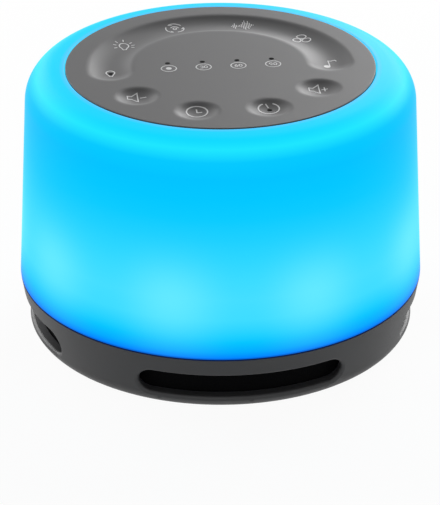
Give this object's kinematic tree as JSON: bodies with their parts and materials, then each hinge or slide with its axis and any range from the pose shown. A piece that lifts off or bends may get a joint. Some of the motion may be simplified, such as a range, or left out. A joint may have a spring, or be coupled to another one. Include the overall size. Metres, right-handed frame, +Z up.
{
  "type": "white noise sound machine",
  "caption": "Round bedside sound machine with a glowing frosted shade, grey touch panel on top with finger dimples and a curved groove, and a dark base with long sound slots.",
  "frame": {"origin": "centre of the footprint, on the surface that the rubber feet stand on", "axes": "+Z up along the housing's axis; the front, with the power and timer dimples, faces -Y; the power inlet faces +Y"},
  "size_m": [0.112, 0.112, 0.0778],
  "materials": {
    "base_plastic": "fine satin moulded dark grey ABS",
    "panel_plastic": "satin mid grey moulded panel",
    "shade_plastic": "frosted translucent shade, lit blue from inside",
    "white_plastic": "matt white moulded plastic",
    "black_plastic": "black moulded plastic",
    "black_mesh": "fine black woven screen",
    "rubber": "matt black rubber",
    "steel": "zinc plated steel",
    "ferrite": "dark grey ferrite",
    "board_green": "green solder mask",
    "board_white": "white solder mask",
    "chip_black": "moulded epoxy",
    "can_metal": "drawn can",
    "paper": "pressed black paper",
    "foam": "black foam",
    "spider_cloth": "resin-dipped cotton",
    "copper": "enamelled copper",
    "film": "double-sided sticky film",
    "lens": "clear silicone lens",
    "wire": "vinyl wire cover"
  },
  "bodies": {
    "root": {"base_housing": "base_plastic", "rubber_feet": "rubber", "base_screws": "steel", "dust_screen": "black_mesh", "speaker_deck": "black_plastic", "glow_shade": "shade_plastic", "touch_panel": "panel_plastic", "panel_film": "film", "touch_board": "board_green", "indicator_lights": "lens", "light_core": "white_plastic", "core_screws": "steel", "light_ring_board": "board_white", "lamps": "white_plastic", "lamp_lenses": "lens", "speaker_gasket": "foam", "speaker_basket": "steel", "speaker_screws": "steel", "magnet_plate": "steel", "magnet_ring": "ferrite", "magnet_yoke": "steel", "speaker_surround": "rubber", "speaker_spider": "spider_cloth", "speaker_terminals": "board_green", "main_board": "board_green", "board_screws": "steel", "controller_chip": "chip_black", "amplifier_chip": "chip_black", "sound_memory_chip": "chip_black", "clock_crystal": "can_metal", "filter_capacitors": "can_metal", "wire_sockets": "white_plastic", "ribbon_sockets": "white_plastic", "touch_ribbon": "film", "inlet_board": "board_green", "inlet_screws": "steel", "inlet_shell": "steel", "inlet_tongue": "chip_black", "port_plate": "black_plastic", "speaker_leads": "wire", "lamp_leads": "wire", "power_leads": "wire"},
    "cone": {"speaker_cone": "paper", "dust_cap": "paper", "coil_former": "can_metal", "coil_winding": "copper"}
  },
  "joints": [
    {"name": "cone_travel", "type": "slide", "parent": "root", "child": "cone", "axis": [0, 0, 1], "range_m": [-0.0012, 0.0012], "stiffness_N_per_m": 900, "deforming": ["speaker_surround", "speaker_spider"]}
  ]
}
